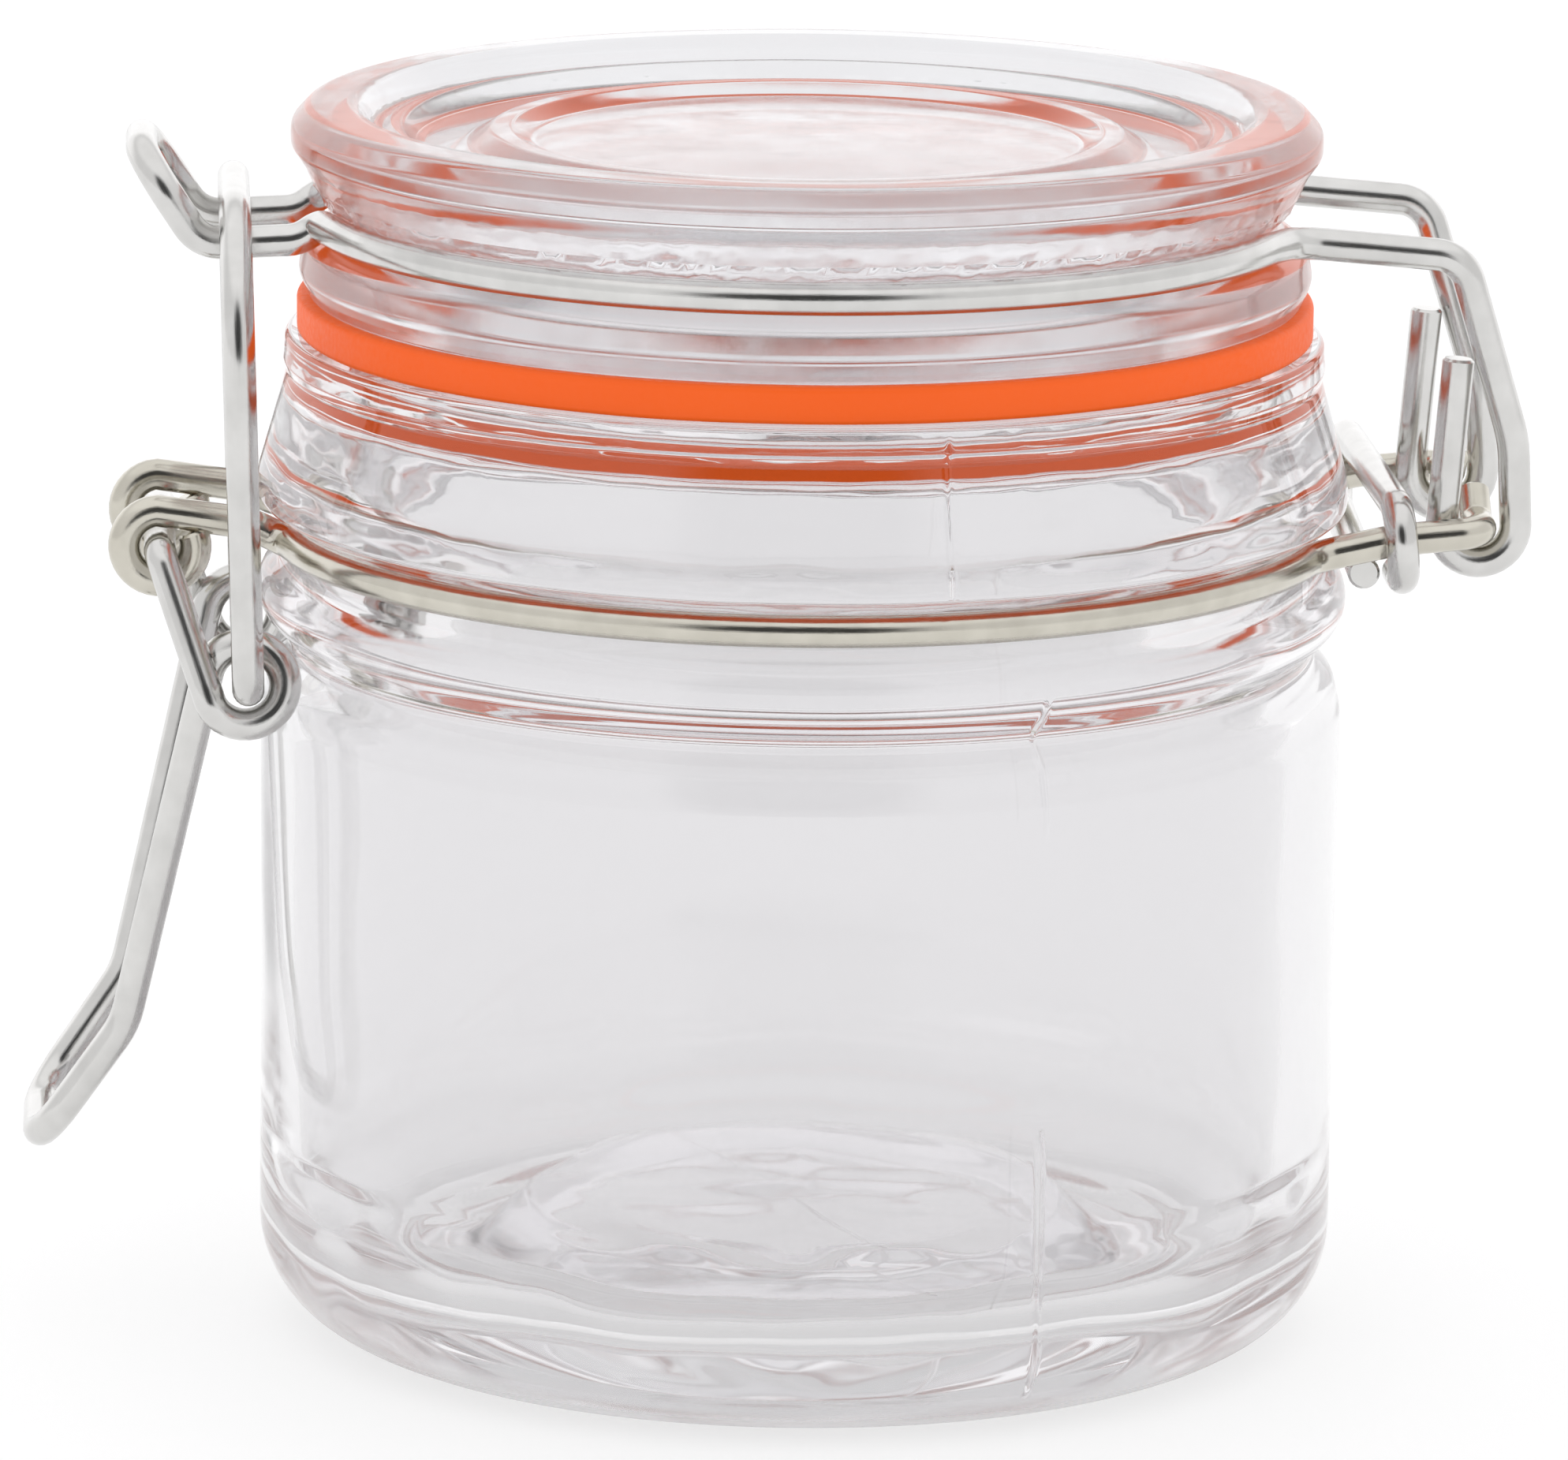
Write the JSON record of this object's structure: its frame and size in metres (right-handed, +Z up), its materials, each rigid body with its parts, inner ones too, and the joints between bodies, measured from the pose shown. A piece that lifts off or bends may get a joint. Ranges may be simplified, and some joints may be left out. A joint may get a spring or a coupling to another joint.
{
  "type": "bail clamp jar",
  "caption": "Small clear glass storage jar with a glass lid, a flat rubber seal and a bent wire bail clamp: hinge on one side, over-centre lever latch on the other.",
  "frame": {"origin": "on the table, below the middle of the whole object's box; the jar's own axis is 2 mm towards +X from it", "axes": "+Z up; +X towards the hinge, -X towards the lever latch; -Y is the front, with the latch on the viewer's left"},
  "size_m": [0.0934, 0.068, 0.077],
  "materials": {
    "glass": "clear, fire-polished pressed glass with slight waves",
    "seal": "smooth matte orange rubber",
    "wire": "bright plating, lightly satin from drawing"
  },
  "bodies": {
    "jar": {"jar_body": "glass", "neck_wire_front": "wire", "neck_wire_rear": "wire", "hinge_tie_ring": "wire"},
    "lid": {"lid_glass": "glass", "seal_ring": "seal", "lid_wire": "wire"},
    "lever": {"lever_handle": "wire"},
    "link": {"closing_link": "wire"}
  },
  "joints": [
    {"name": "lid_hinge", "type": "hinge", "parent": "jar", "child": "lid", "pos_m": [0.0434, 0, 0.0522], "axis": [0, 1, 0], "range_deg": [0, 180]},
    {"name": "lever_pivot", "type": "hinge", "parent": "jar", "child": "lever", "pos_m": [-0.0381, 0, 0.0503], "axis": [0, 1, 0], "range_deg": [0, 150], "deforming": ["closing_link"]},
    {"name": "link_swing", "type": "hinge", "parent": "lever", "child": "link", "pos_m": [-0.0327, 0, 0.0427], "axis": [0, -1, 0], "range_deg": [0, 180]}
  ],
  "couplings": [
    {"joint": "link_swing", "follows": "lever_pivot", "ratio": 1.2}
  ]
}
